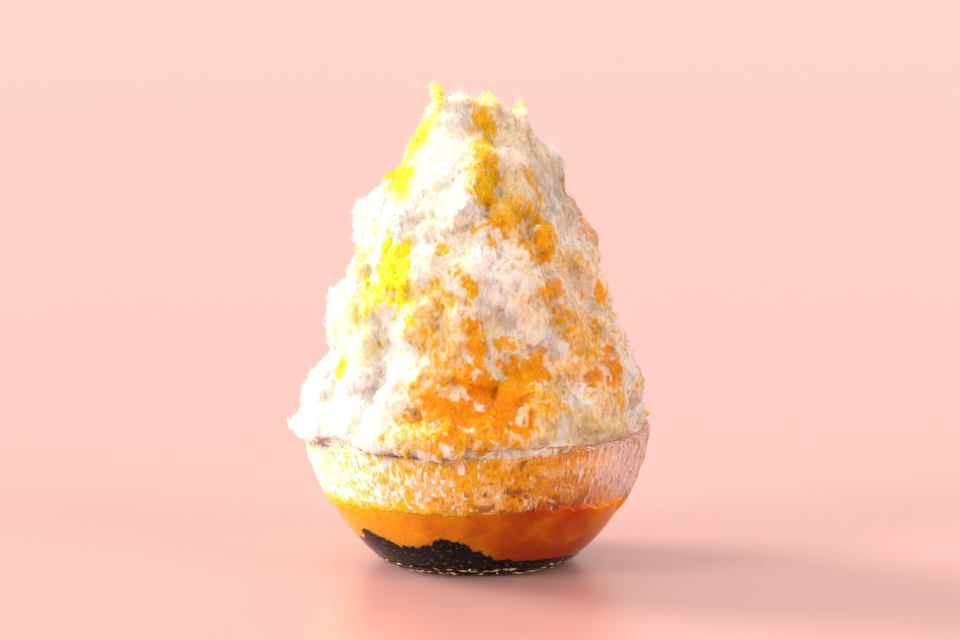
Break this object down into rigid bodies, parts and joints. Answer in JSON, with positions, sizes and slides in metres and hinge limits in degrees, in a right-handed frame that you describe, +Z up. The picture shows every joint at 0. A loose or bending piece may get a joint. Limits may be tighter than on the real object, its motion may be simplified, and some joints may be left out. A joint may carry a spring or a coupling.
{
  "type": "shaved ice dessert",
  "caption": "Tall heap of fluffy shaved ice streaked with yellow and orange fruit syrup, in a clear textured glass bowl over orange fruit sauce and dark sweet bean paste.",
  "frame": {"origin": "centre of the bowl's flat foot, on the table", "axes": "+Z up the heap, -Y towards the picture's camera, +X to its right"},
  "size_m": [0.1303, 0.1314, 0.1746],
  "materials": {
    "bowl_glass": "clear pressed glass, polished, with a rough band of run-down ribs",
    "stained_ice": "white flaked ice, stained lemon yellow and orange by syrup",
    "sauce": "glossy orange fruit sauce, slightly translucent",
    "paste": "wet, nearly black sweet bean paste"
  },
  "bodies": {
    "root": {"glass_bowl": "bowl_glass", "shaved_ice": "stained_ice", "fruit_sauce": "sauce", "bean_paste": "paste"}
  },
  "joints": []
}
